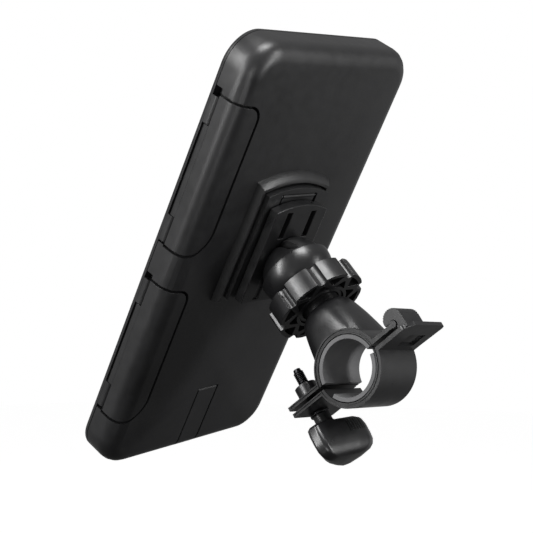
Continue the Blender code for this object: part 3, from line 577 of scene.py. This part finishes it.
def liners(base, axis):
    top = angle_at(LINER_OUT_R, UPPER_FLANGE[0])
    upper = arc(0, 0, LINER_OUT_R, top, 180 - top, 18) + arc(0, 0, BORE_R, 180 - top, top, 18)
    piece("upper_liner", prism(upper, "X", -CLAMP_HALF, CLAMP_HALF), base, "rubber")
    start, end = 207, 350
    lower = (arc(0, LOWER_RISE, LINER_OUT_R, start, end, 16)
             + arc(0, LOWER_RISE, BORE_R, end, start, 16))
    piece("lower_liner", prism(lower, "X", -CLAMP_HALF, CLAMP_HALF), axis, "rubber")


def thumb_screw(axis):
    low, high = SCREW_Z
    core = [(0, low), (SCREW_R, low)]
    for k in range(int((high - 0.8 - low) / PITCH)):
        crest = low + (k + 0.5) * PITCH
        core += [(SCREW_R, crest - 0.1), (SCREW_R, crest + 0.1),
                 (SCREW_R - THREAD_DEPTH, crest + PITCH / 2)]
    core += [(SCREW_R - 0.6, high), (0, high)]
    piece("thumb_bolt", turned(core, (*SCREW, 0), "Z", 16), axis, "steel")
    x0, y0 = SCREW
    plan = rounded(KNOB_PLAN)
    rings = []
    for z, scale, share in KNOB_STATIONS:
        ring = []
        for x, y in plan:
            angle = math.atan2(y, x)
            ring.append((x0 + (1 - share) * x * scale + share * HUB_R * math.cos(angle),
                         y0 + (1 - share) * y * scale + share * HUB_R * math.sin(angle), z))
        rings.append(ring)
    hole = rod((*SCREW, 0), "Z", SCREW_R + GAP, low - GAP, 0, 16)
    piece("thumb_knob", loft(rings), axis, "clamp_black", cuts=(hole, knob_ribs()))


def clamp_hardware(base, feed):
    insert = tube((*SCREW, 0), "Z", SCREW_R + GAP, 3.0, 3.7, BOSS_TOP + 0.2, 16)
    piece("threaded_insert", insert, base, "steel")
    washer = tube((*SCREW, 0), "Z", SCREW_R + GAP, 3.9, HUB_TOP + GAP, HUB_TOP + 1.3, 20)
    piece("screw_washer", washer, feed, "steel")


def neck_screw(base):
    foot = SOCKET_FOOT
    screw = [(0, 22.0), (1.8, 22.0), (1.8, foot + 0.2), (3.0, foot + 1.2), (0, foot + 1.2)]
    piece("neck_screw", turned(screw, (0, 0, 0), "Z", 12), base, "steel")


# --- ball joint pieces -----------------------------------------------------------------------

def socket_bowl(base):
    """The cup that holds the ball, with the skirt that the ring nut runs on."""
    pocket_r = 7.2
    start = math.degrees(math.asin(COLLAR_R / SOCKET_OUT_R))
    rim = SOCKET_RIM - BALL_H
    outside = arc(0, BALL_H, SOCKET_OUT_R, -(90 - start), angle_at(SOCKET_OUT_R, rim), 6)
    foot = -math.degrees(math.acos(pocket_r / SOCKET_IN_R))
    inside = arc(0, BALL_H, SOCKET_IN_R, angle_at(SOCKET_IN_R, rim), foot, 6)
    skirt_in = COLLAR_R - 1.4
    profile = [(2.2, SOCKET_FOOT), (skirt_in, SOCKET_FOOT), (skirt_in, SKIRT_FOOT),
               (COLLAR_R, SKIRT_FOOT)] + outside + inside
    profile += [(pocket_r, SOCKET_FOOT + 1.3), (3.5, SOCKET_FOOT + 1.3)]
    piece("socket_bowl", turned(profile, (0, 0, 0), "Z", 36, ring=True), base, "clamp_black")


def ball_seat(parent):
    """The wear ring that the ball turns on, at the foot of the socket."""
    inner, outer, low = 4.2, 6.9, SOCKET_FOOT + 1.6
    top = [(r, BALL_H - reach(SOCKET_IN_R, r)) for r in (outer, 6.0, 5.1, inner)]
    profile = [(inner, low), (outer, low)] + top
    piece("ball_seat", turned(profile, (0, 0, 0), "Z", 28, ring=True), parent, "nylon")


def lobe_radius(angle):
    """Radius of the ring nut's grip at an angle: full lobes with narrow flutes between them."""
    pitch = math.tau / NUT_LOBES
    off = abs((angle + pitch / 2) % pitch - pitch / 2)
    crown = NUT_R - 0.6 * (1 - 2 * off / pitch) ** 2
    flute_half, depth = 0.115, 1.9
    if off > flute_half:
        return crown
    return crown - depth * math.sqrt(1 - (off / flute_half) ** 2)


def ring_nut(parent):
    low, high = NUT_Z
    web = high - 1.8
    pitch = math.tau / NUT_LOBES
    offsets = (0.0, 0.058, 0.1, 0.115, 0.20, 0.30)
    angles = sorted({round((k * pitch + s * a) % math.tau, 6)
                     for k in range(NUT_LOBES) for a in offsets for s in (1, -1)})
    grip = [(lobe_radius(a) * math.cos(a), lobe_radius(a) * math.sin(a)) for a in angles]
    pockets = []
    for k in range(NUT_LOBES):
        for middle, wide_r, narrow_r, spread in (((k + 0.5) * pitch, 16.7, 12.7, 0.32),
                                                 (k * pitch, 11.0, 14.2, 0.39)):
            wide = [middle + f * spread * pitch for f in (-1, -0.5, 0, 0.5, 1)]
            outline = [(wide_r * math.cos(a), wide_r * math.sin(a)) for a in wide]
            outline += [(narrow_r * math.cos(a), narrow_r * math.sin(a))
                        for a in (middle + 0.05 * pitch, middle - 0.05 * pitch)]
            pockets.append(prism(outline, "Z", low - EPS, web))
    bore_r = COLLAR_R + GAP
    bore = [(0, low - 1), (bore_r, low - 1), (bore_r, 37.2), (12.4, high + 0.1),
            (12.4, high + 1), (0, high + 1)]
    piece("ring_nut", prism(grip, "Z", low, high), parent, "clamp_black",
          cuts=(merged(*pockets), turned(bore, (0, 0, 0), "Z", 36)))


def ball_stud(parent):
    """The ball, cut flat on the plate and slit on both sides, drawn in the case frame."""
    screw_r, flat = 2.1, 8.5
    base = PLATE_Y[1] + GAP
    out = BALL_IN_CASE.y
    profile = [(screw_r, base)] + arc(0, out, BALL_R, -angle_at(BALL_R, out - base),
                                      angle_at(BALL_R, flat), 14)
    profile += [(0, out + flat), (0, base + 8.5), (screw_r, base + 8.0)]
    z0 = BALL_IN_CASE.z
    slits = []
    for side in (1, -1):
        for end in (1, -1):
            wedge = [(base - 1.3, z0 + end * 4.5), (base + 7.7, z0 + end * 11.0),
                     (base + 7.7, z0 + end * 16.0), (base - 1.3, z0 + end * 16.0)]
            low, high = sorted((side * SLIT_X[0], side * SLIT_X[1]))
            slits.append(prism(wedge, "X", low, high))
    centre = (0, 0, z0)
    piece("ball_stud", turned(profile, centre, "Y", 36, ring=True), parent, "clamp_black",
          cuts=(merged(*slits),))
    head = PLATE_Y[0] + 0.3
    screw = [(0, head), (3.2, head), (3.2, head + 0.4), (1.8, head + 1.9), (1.8, 17.2), (0, 17.2)]
    piece("stud_screw", turned(screw, centre, "Y", 14), parent, "steel")


# --- plate and receiver ----------------------------------------------------------------------

def mount_plate(parent):
    low, high = PLATE_Y
    foot = PLATE[1]
    neck, head = low + 1.15, low + 2.75
    channel = [(8.7, low - EPS), (10.4, low - EPS), (10.4, neck), (12.7, neck), (12.7, head),
               (8.7, head)]
    channels = [prism([(side * x, y) for x, y in channel], "Z", foot - EPS, RAIL_TOP + GAP)
                for side in (1, -1)]
    z0 = BALL_IN_CASE.z
    near, far = SLIT_X
    slots = [prism([(side * near, a), (side * far, a), (side * far, b), (side * near, b)],
                   "Y", bottom, high + EPS) for side in (1, -1)
             for a, b, bottom in ((18.4, 29.8, low + 0.8), (foot + 1.0, z0 - 7.0, head + 0.4))]
    hole = [(0, low - EPS), (3.6, low - EPS), (3.6, low + 0.9), (2.1, low + 2.5),
            (2.1, high + EPS), (0, high + EPS)]
    piece("mount_plate", prism(arched(*PLATE), "Y", low, high), parent, "clamp_black",
          cuts=(merged(*channels), merged(*slots), turned(hole, (0, 0, z0), "Y", 14)))


def slide_receiver(parent):
    low, high = RECEIVER_Y
    neck, head = PLATE_Y[0] + 1.5, PLATE_Y[0] + 2.4
    rail = [(9.0, high - 0.6), (10.1, high - 0.6), (10.1, neck), (12.4, neck), (12.4, head),
            (9.0, head)]
    rails = [prism([(side * x, y) for x, y in rail], "Z", RECEIVER[1] + 0.4, RAIL_TOP)
             for side in (1, -1)]
    tongue_slot = prism(rounded_rect(10.7, 6.3, 0.8, 2, (0, 29.1)), "Y", low - EPS, high + EPS)
    pin_hole = rod((0, *TONGUE_PIN), "X", 0.55, -13.0, 13.0, 10)
    screw_holes = merged(*[rod((x, 0, z), "Y", 1.3, low - EPS, 2.7, 10) for x, z in SCREW_SPOTS])
    piece("slide_receiver", prism(arched(*RECEIVER), "Y", low, high), parent, "case_black",
          joins=rails, cuts=(tongue_slot, pin_hole, screw_holes))


def receiver_screws(parent):
    """Four countersunk screws from inside the case."""
    profile = [(0, -2.0), (2.2, -2.0), (1.0, -0.8), (1.0, 2.4), (0, 2.4)]
    for number, (x, z) in enumerate(SCREW_SPOTS, 1):
        piece(f"receiver_screw_{number}", turned(profile, (x, 0, z), "Y", 10), parent, "steel")


def release_tongue(parent, receiver):
    """The sprung catch in the receiver, hung on a cross pin at its top end."""
    outline = rounded_rect(9.6, 5.5, 0.8, 2, (0, 28.6))
    knuckle = rod((0, *TONGUE_PIN), "X", 0.85, -9.5, 9.5, 12)
    hole = rod((0, *TONGUE_PIN), "X", 0.5, -12.0, 12.0, 10)
    piece("release_tongue", prism(outline, "Y", 3.5, 4.7), parent, "case_black",
          joins=(knuckle,), cuts=(hole,))
    piece("tongue_pin", rod((0, *TONGUE_PIN), "X", 0.4, -12.6, 12.6, 10), receiver, "steel")


# --- case ------------------------------------------------------------------------------------

def plan_ring(half_x, half_z, radius, y, steps=6):
    return [(x, y, z) for x, z in rounded_rect(half_x, half_z, radius, steps)]


def inset_ring(inset, y, steps=6):
    return plan_ring(HALF_W - inset, HALF_H - inset, CORNER_R - inset, y, steps)


def edge_rings(depth, steps=5):
    """Rings over the rounded back edge of the case, at a depth below its surface."""
    radius = EDGE_R - depth
    rings = []
    for i in range(steps + 1):
        a = math.radians(90 * i / steps)
        rings.append(inset_ring(EDGE_R - radius * math.cos(a), -EDGE_R + radius * math.sin(a)))
    return rings


def wrapped(outer, inner, front, side, edge, ends):
    """A sheet round the case's side and back edge, between two depths, with shaped ends.

    edge is the x of its free edge on the back, or None where it stops on the rounding.
    ends gives the low and high z at an x.
    """
    cx, cy = HALF_W - EDGE_R, -EDGE_R
    turns = 90 if edge is not None else FAR_WRAP + (inner - LATCH_T) * 10
    columns = []
    for depth in (outer, inner):
        radius = EDGE_R - depth
        column = [(cx + radius, front)] + arc(cx, cy, radius, 0, turns, 5)
        if edge is not None:
            column += [(cx - (cx - edge) * math.sin(math.radians(a)), -depth)
                       for a in (15, 30, 45, 60, 75, 90)]
        columns.append(column)
    bm = bmesh.new()
    rows = []
    for (x, y), (deep_x, deep_y) in zip(*columns):
        low, high = ends(min(x, HALF_W))
        rows.append([bm.verts.new((side * px, py, z)) for px, py, z in
                     ((x, y, low), (x, y, high), (deep_x, deep_y, high), (deep_x, deep_y, low))])
    for row, after in zip(rows, rows[1:]):
        for i in range(4):
            j = (i + 1) % 4
            bm.faces.new((row[i], row[j], after[j], after[i]))
    bm.faces.new(rows[0])
    bm.faces.new(rows[-1])
    return finish_bmesh(bm)


def latch_ends(low, high, edge):
    """The ends of a near latch or its recess: a round top corner and a longer lower one."""
    top_r = HALF_W - EDGE_R - edge
    foot_x = 43.5
    foot_r = foot_x - edge

    def ends(x):
        drop = top_r - reach(top_r, min(top_r, max(0.0, HALF_W - EDGE_R - x)))
        rise = foot_r - reach(foot_r, min(foot_r, max(0.0, foot_x - x)))
        return low + 0.25 * max(0.0, 46.0 - x) + rise, high - drop
    return ends


def recess(row, side):
    """The pocket in the shell that one latch closes into, and the groove for its pin."""
    low, high = LATCH_ROWS[row]["latch"]
    low, high = low - LATCH_GAP, high + LATCH_GAP
    edge = LATCH_EDGE - 1.2
    ends = latch_ends(low, high, edge) if side > 0 else lambda x: (low, high)
    wing = wrapped(-2.0, LATCH_T + GAP, LATCH_FRONT - 0.4, side, edge if side > 0 else None, ends)
    groove = [(HALF_W + 2, SHELL_FRONT - 1), (HALF_W + 2, -9.9), (44.2, -9.9),
              (44.2, SHELL_FRONT - 1)]
    return wing, prism([(side * x, y) for x, y in groove], "Z", *LATCH_ROWS[row]["groove"])


def rear_shell(parent):
    rings = [inset_ring(0.0, SHELL_FRONT)] + edge_rings(0.0)
    cavity = loft([plan_ring(CAVITY_X, CAVITY_Z, CAVITY_R, SHELL_FRONT - 1),
                   plan_ring(CAVITY_X, CAVITY_Z, CAVITY_R, -6.5),
                   plan_ring(CAVITY_X - 0.6, CAVITY_Z - 0.6, CAVITY_R - 0.6, -5.1),
                   plan_ring(CAVITY_X - 2.0, CAVITY_Z - 2.0, CAVITY_R - 2.0, -4.5)])
    floor = prism(rounded_rect(33.5, 56.0, 5.0, 3), "Y", -5.0, -2.3)
    plateau = loft([[(x, y, z) for x, z in arched(*outline)] for y, outline in PLATEAU])
    seat = prism(arched(*SEAT), "Y", 0.2, 4.0)
    cuts = [cavity, floor, seat]
    for row in LATCH_ROWS:
        for side in (1, -1):
            cuts += recess(row, side)
    screw = [(0, -3.0), (2.5, -3.0), (2.5, -2.2), (1.3, -0.9), (1.3, 1.0), (0, 1.0)]
    cuts.append(merged(*[turned(screw, (x, 0, z), "Y", 10) for x, z in SCREW_SPOTS]))
    cuts += door_recess()
    piece("rear_shell", loft(rings), parent, "case_black", joins=(plateau,), cuts=cuts)


def door_section(depth, low_y, hinge_round):
    """Section (z, y) of the port door, which wraps from the back to the bottom edge."""
    cz, cy = -(HALF_H - EDGE_R), -EDGE_R
    outer = arc(cz, cy, EDGE_R, 90, 180, 5) + [(-HALF_H, low_y)]
    inner = [(-HALF_H + depth, low_y)] + arc(cz, cy, EDGE_R - depth, 180, 90, 5)
    head = [(DOOR_HINGE_Z, -depth), (DOOR_HINGE_Z, 0.0)]
    if hinge_round:
        head = arc(DOOR_HINGE_Z, -depth / 2, depth / 2, -90, 90, 6)
    return outer + inner + head


def along_x(section, half):
    """A solid from a section of (z, y) points, across the case."""
    return loft([[(x, y, z) for z, y in section] for x in (-half, half)])


def door_recess():
    """The groove that the port door closes into, its pin hole and the port behind it."""
    depth = DOOR_T + GAP
    cz, cy = -(HALF_H - EDGE_R), -EDGE_R
    section = [(DOOR_HINGE_Z + 1.3, 1.0), (-HALF_H - 1.0, 1.0), (-HALF_H - 1.0, -12.0),
               (-HALF_H + depth, -12.0)] + arc(cz, cy, EDGE_R - depth, 180, 90, 5)
    section += [(DOOR_HINGE_Z + 1.3, -depth)]
    pin_hole = rod((0, -DOOR_T / 2, DOOR_HINGE_Z), "X", 0.5, -8.5, 8.5, 10)
    port = prism([(-4.6, -11.0), (4.6, -11.0), (4.6, -7.0), (-4.6, -7.0)], "Z", -94.0, -84.0)
    return [along_x(section, DOOR_HALF + 0.75), pin_hole, port]


def port_door(parent, shell):
    hole = rod((0, -DOOR_T / 2, DOOR_HINGE_Z), "X", 0.5, -7.0, 7.0, 10)
    piece("port_door", along_x(door_section(DOOR_T, -11.4, True), DOOR_HALF), parent, "case_black",
          cuts=(hole,))
    pin = rod((0, -DOOR_T / 2, DOOR_HINGE_Z), "X", 0.4, -8.1, 8.1, 10)
    piece("port_door_pin", pin, shell, "steel")


def front_frame(parent):
    rings = [inset_ring(0.9, FRAME_FRONT), inset_ring(0.2, FRAME_FRONT + 0.5),
             inset_ring(0.0, FRAME_FRONT + 1.0), inset_ring(0.0, FRAME_BACK)]
    opening = prism(rounded_rect(40.5, 85.5, 7.0, 5), "Y", FRAME_FRONT - EPS, FRAME_BACK + EPS)
    rebate = prism(rounded_rect(42.2, 87.2, 8.7, 5), "Y", -14.7, FRAME_BACK + EPS)
    knuckles = []
    holes = []
    for spans in LATCH_ROWS.values():
        for side in (1, -1):
            section = arc(side * PIN_X, PIN_Y, KNUCKLE_R, 0, 180, 6)
            section += [(side * PIN_X - KNUCKLE_R, FRAME_BACK - 0.4),
                        (side * PIN_X + KNUCKLE_R, FRAME_BACK - 0.4)]
            knuckles += [prism(section, "Z", low, high) for low, high in spans["frame"]]
            ends = spans["frame"]
            holes.append(rod((side * PIN_X, PIN_Y, 0), "Z", 0.75, ends[0][0] + 1.0,
                             ends[1][1] + EPS, 10))
    piece("front_frame", loft(rings), parent, "case_black", joins=(merged(*knuckles),),
          cuts=(opening, rebate, merged(*holes)))


def window_and_seals(parent):
    piece("touch_window", prism(rounded_rect(41.9, 86.9, 8.4, 4), "Y", -14.4, -13.8),
          parent, "window")
    ring = prism(rounded_rect(42.6, 87.6, 8.6, 4), "Y", -13.3, -11.8)
    hole = prism(rounded_rect(41.2, 86.2, 7.2, 4), "Y", -14.0, -11.0)
    piece("case_seal", ring, parent, "rubber", cuts=(hole,))
    piece("back_pad", prism(rounded_rect(33.2, 55.7, 4.7, 3), "Y", -5.6, -2.6), parent, "foam")
    for side, name in ((1, "right"), (-1, "left")):
        pad = rounded_rect(1.4, 30.0, 1.2, 2, (side * 41.2, 0.0))
        piece(f"side_pad_{name}", prism(pad, "Y", -10.8, -6.0), parent, "foam")


def latch(row, side, parent, pin_parent):
    """One latch: a flush wing round the case's edge, swinging on a pin by the front frame."""
    name = f"latch_{row}_{'right' if side > 0 else 'left'}"
    low, high = LATCH_ROWS[row]["latch"]
    own_low, own_high = LATCH_ROWS[row]["own"]
    if side > 0:
        wing = wrapped(0.0, LATCH_T, LATCH_FRONT, side, LATCH_EDGE,
                       latch_ends(low, high, LATCH_EDGE))
    else:
        wing = wrapped(0.0, LATCH_T, LATCH_FRONT, side, None, lambda x: (low, high))
    lobe = arc(PIN_X, PIN_Y, KNUCKLE_R, 180, 360, 6)
    lobe += [(PIN_X + KNUCKLE_R, -9.6), (PIN_X - 0.4, -9.6)]
    knuckle = prism([(side * x, y) for x, y in lobe], "Z", own_low, own_high)
    hole = rod((side * PIN_X, PIN_Y, 0), "Z", 0.75, own_low - 1, own_high + 1, 10)
    piece(name, wing, parent, "case_black", joins=(knuckle,), cuts=(hole,))
    first, last = LATCH_ROWS[row]["frame"]
    pin = rod((side * PIN_X, PIN_Y, 0), "Z", 0.6, first[0] + 1.3, last[1] - 0.1, 10)
    piece(f"{name}_pin", pin, pin_parent, "steel")


# --- assembly --------------------------------------------------------------------------------

def build():
    """Every piece, in the frames of the clamp, the neck and the case."""
    clamp = Matrix.Rotation(math.radians(CLAMP_LEAN), 4, "X")
    turn_x, turn_y, turn_z = (math.radians(a) for a in CASE_TURN)
    turn = (Matrix.Rotation(turn_x, 4, "X") @ Matrix.Rotation(turn_z, 4, "Z")
            @ Matrix.Rotation(turn_y, 4, "Y"))
    neck_base = Matrix.Rotation(math.radians(NECK_LEAN), 4, "X")
    ball = neck_base @ Vector((0, 0, BALL_H))
    case = Matrix.Translation((ball - turn @ BALL_IN_CASE) * MM) @ turn
    upper_jaw(clamp)
    lower_jaw(clamp)
    liners(clamp, clamp)
    thumb_screw(clamp)
    clamp_hardware(clamp, clamp)
    neck_screw(neck_base)
    socket_bowl(neck_base)
    ball_seat(neck_base)
    ring_nut(neck_base)
    ball_stud(case)
    mount_plate(case)
    slide_receiver(case)
    receiver_screws(case)
    release_tongue(case, case)
    rear_shell(case)
    port_door(case, case)
    front_frame(case)
    window_and_seals(case)
    for row in LATCH_ROWS:
        for side in (1, -1):
            latch(row, side, case, case)


# --- stage -----------------------------------------------------------------------------------

CAMERA_AT = Vector((0.371, 0.2485, 0.007))
CAMERA_AIM = Vector((-0.781, -0.6215, 0.069))
LENS = 81.7
FLOOR_Z = -0.35
FLOOR_SIZE = 12.0
# grey of the studio at each height of the direction, from straight down to straight up
STUDIO = ((0.0, 0.03), (0.15, 0.06), (0.27, 0.16), (0.38, 0.40), (0.5, 0.50), (0.7, 0.22),
          (1.0, 0.40))
# name, place, aim, size and power of each light
LIGHTS = (
    ("overhead", (0.20, 0.35, 0.75), (0, 0, 0.05), (0.4, 0.3), 7.0),
    ("left_strip", (0.75, -0.22, 0.25), (0, -0.03, 0.02), (0.12, 0.8), 8.0),
    ("right_strip", (-0.28, 0.75, 0.05), (0, -0.03, 0.02), (0.10, 0.8), 6.0),
    ("low_fill", (0.55, 0.35, -0.30), (0, -0.05, 0.0), (0.3, 0.3), 1.5),
)


def camera():
    data = bpy.data.cameras.new("camera")
    data.lens = LENS
    data.sensor_width = 36.0
    obj = bpy.data.objects.new("camera", data)
    obj.location = CAMERA_AT
    obj.rotation_euler = CAMERA_AIM.to_track_quat("-Z", "Y").to_euler()
    bpy.context.collection.objects.link(obj)
    bpy.context.scene.camera = obj


def area_light(name, place, aim, size, power):
    data = bpy.data.lights.new(name, "AREA")
    data.shape = "RECTANGLE"
    data.size, data.size_y = size
    data.energy = power
    obj = bpy.data.objects.new(name, data)
    obj.location = place
    obj.rotation_euler = (Vector(aim) - Vector(place)).to_track_quat("-Z", "Y").to_euler()
    bpy.context.collection.objects.link(obj)


def studio_world():
    """Soft light that changes with height, seen as white by the camera alone."""
    world = bpy.data.worlds.new("studio")
    world.use_nodes = True
    tree = world.node_tree
    coords = tree.nodes.new("ShaderNodeTexCoord")
    split = tree.nodes.new("ShaderNodeSeparateXYZ")
    link(tree, coords, "Generated", split, "Vector")
    height = tree.nodes.new("ShaderNodeMapRange")
    height.inputs["From Min"].default_value = -1.0
    link(tree, split, "Z", height, "Value")
    greys = tree.nodes.new("ShaderNodeValToRGB")
    for position, value in STUDIO[1:-1]:
        greys.color_ramp.elements.new(position)
    for element, (position, value) in zip(greys.color_ramp.elements, STUDIO):
        element.position = position
        element.color = (value, value, value, 1.0)
    link(tree, height, "Result", greys, "Fac")
    path = tree.nodes.new("ShaderNodeLightPath")
    mix = tree.nodes.new("ShaderNodeMixRGB")
    mix.inputs["Color2"].default_value = (1.0, 1.0, 1.0, 1.0)
    link(tree, path, "Is Camera Ray", mix, "Fac")
    link(tree, greys, "Color", mix, "Color1")
    link(tree, mix, "Color", tree.nodes["Background"], "Color")
    bpy.context.scene.world = world


def pale_floor():
    """A glowing floor that blends into the background and leaves no light on the mount."""
    bpy.ops.mesh.primitive_plane_add(size=FLOOR_SIZE, location=(0, 0, FLOOR_Z))
    floor = bpy.context.object
    floor.name = "floor"
    floor.visible_glossy = False
    floor.visible_diffuse = False
    paint = bpy.data.materials.new("floor")
    paint.use_nodes = True
    shader = paint.node_tree.nodes["Principled BSDF"]
    shader.inputs["Base Color"].default_value = (0.9, 0.9, 0.9, 1.0)
    shader.inputs["Roughness"].default_value = 0.9
    shader.inputs["Emission Color"].default_value = (1.0, 1.0, 1.0, 1.0)
    shader.inputs["Emission Strength"].default_value = 0.7
    floor.data.materials.append(paint)


build()
camera()
studio_world()
pale_floor()
bpy.context.scene.view_settings.view_transform = "Standard"
for light in LIGHTS:
    area_light(*light)
